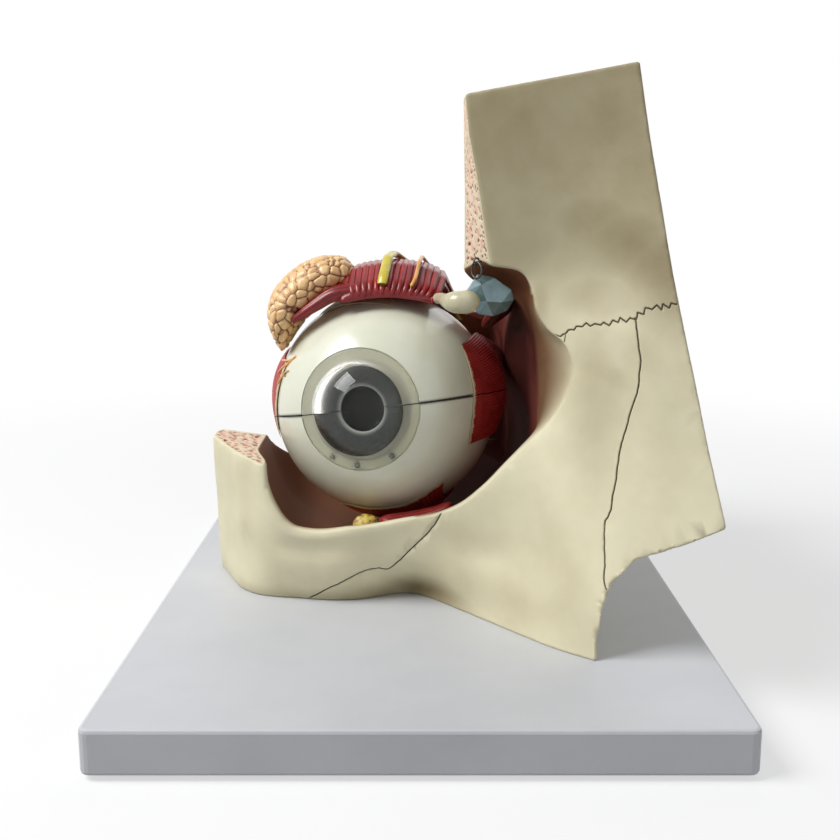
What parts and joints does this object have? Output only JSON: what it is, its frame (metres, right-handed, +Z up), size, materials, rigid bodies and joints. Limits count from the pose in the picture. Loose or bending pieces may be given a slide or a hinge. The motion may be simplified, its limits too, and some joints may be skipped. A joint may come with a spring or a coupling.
{
  "type": "eye anatomy model",
  "caption": "Enlarged demonstration eyeball that lifts apart in layers, in a cut bony eye socket with muscles, gland and nerves, on a flat rectangular base board.",
  "frame": {"origin": "centre of the base board's footprint, at the underside of its pads", "axes": "+Z up, the eye looks towards -Y and its nose side is at +X"},
  "size_m": [0.18, 0.26, 0.1932],
  "materials": {
    "board": "pale blue-grey, satin",
    "pad": "matt black",
    "steel": "plain",
    "bone": "hand-painted cream and brown, satin varnish",
    "sclera": "ivory white, semi-gloss",
    "cornea": "clear moulded plastic",
    "iris": "dark blue-grey",
    "choroid": "dark red-brown",
    "lens": "clear plastic",
    "vitreous": "clear plastic",
    "muscle": "red with painted fibres",
    "tendon": "ivory",
    "gland": "tan with dark joints between the lobes",
    "nerve": "yellow",
    "thin_nerve": "orange",
    "trochlea": "blue-grey"
  },
  "bodies": {
    "stand": {"base_board": "board", "foot_pad_fl": "pad", "foot_pad_fr": "pad", "foot_pad_rl": "pad", "foot_pad_rr": "pad", "bone_screw_1": "steel", "bone_screw_2": "steel", "bone_screw_3": "steel", "orbit_bone": "bone", "medial_rectus_rear": "muscle", "lateral_rectus_rear": "muscle", "inferior_rectus_rear": "muscle", "optic_nerve": "nerve", "trochlea": "trochlea", "superior_oblique_belly": "muscle", "trochlea_ring": "steel", "hook_eye": "steel", "infraorbital_nerve": "nerve", "inferior_oblique": "muscle"},
    "ball_lower": {"sclera_lower": "sclera", "cornea_lower": "cornea", "cornea_pin_1": "steel", "cornea_pin_2": "steel", "cornea_pin_3": "steel", "seam_dowel_1": "steel", "seam_dowel_2": "steel", "seam_dowel_3": "steel", "seam_dowel_4": "steel", "medial_rectus_lower": "muscle", "lateral_rectus_lower": "muscle", "inferior_rectus": "muscle", "optic_nerve_stub": "nerve"},
    "choroid_bowl": {"choroid_lower": "choroid", "iris_lower": "iris"},
    "vitreous": {"vitreous_body": "vitreous"},
    "lens_body": {"lens": "lens"},
    "choroid_cap": {"choroid_upper": "choroid", "iris_upper": "iris"},
    "ball_upper": {"sclera_upper": "sclera", "cornea_upper": "cornea", "medial_rectus_upper": "muscle", "lateral_rectus_upper": "muscle", "superior_rectus": "muscle"},
    "lid_lifter": {"levator_palpebrae": "muscle", "superior_rectus_rear": "muscle", "lacrimal_gland": "gland", "supraorbital_nerve": "nerve", "supratrochlear_nerve": "thin_nerve", "superior_oblique_tendon": "tendon"}
  },
  "joints": [
    {"name": "lift_ball", "type": "slide", "parent": "stand", "child": "ball_lower", "axis": [-0.2255, 0.0842, 0.9706], "range_m": [0, 0.1]},
    {"name": "lift_choroid_bowl", "type": "slide", "parent": "ball_lower", "child": "choroid_bowl", "axis": [-0.2255, 0.0842, 0.9706], "range_m": [0, 0.05]},
    {"name": "lift_vitreous", "type": "slide", "parent": "choroid_bowl", "child": "vitreous", "axis": [-0.2255, 0.0842, 0.9706], "range_m": [0, 0.05]},
    {"name": "lift_lens", "type": "slide", "parent": "vitreous", "child": "lens_body", "axis": [-0.2255, 0.0842, 0.9706], "range_m": [0, 0.05]},
    {"name": "lift_choroid_cap", "type": "slide", "parent": "lens_body", "child": "choroid_cap", "axis": [-0.2255, 0.0842, 0.9706], "range_m": [0, 0.05]},
    {"name": "lift_ball_cap", "type": "slide", "parent": "choroid_cap", "child": "ball_upper", "axis": [-0.2255, 0.0842, 0.9706], "range_m": [0, 0.05]},
    {"name": "lift_lid_lifter", "type": "slide", "parent": "ball_upper", "child": "lid_lifter", "axis": [-0.2255, 0.0842, 0.9706], "range_m": [0, 0.055]}
  ]
}
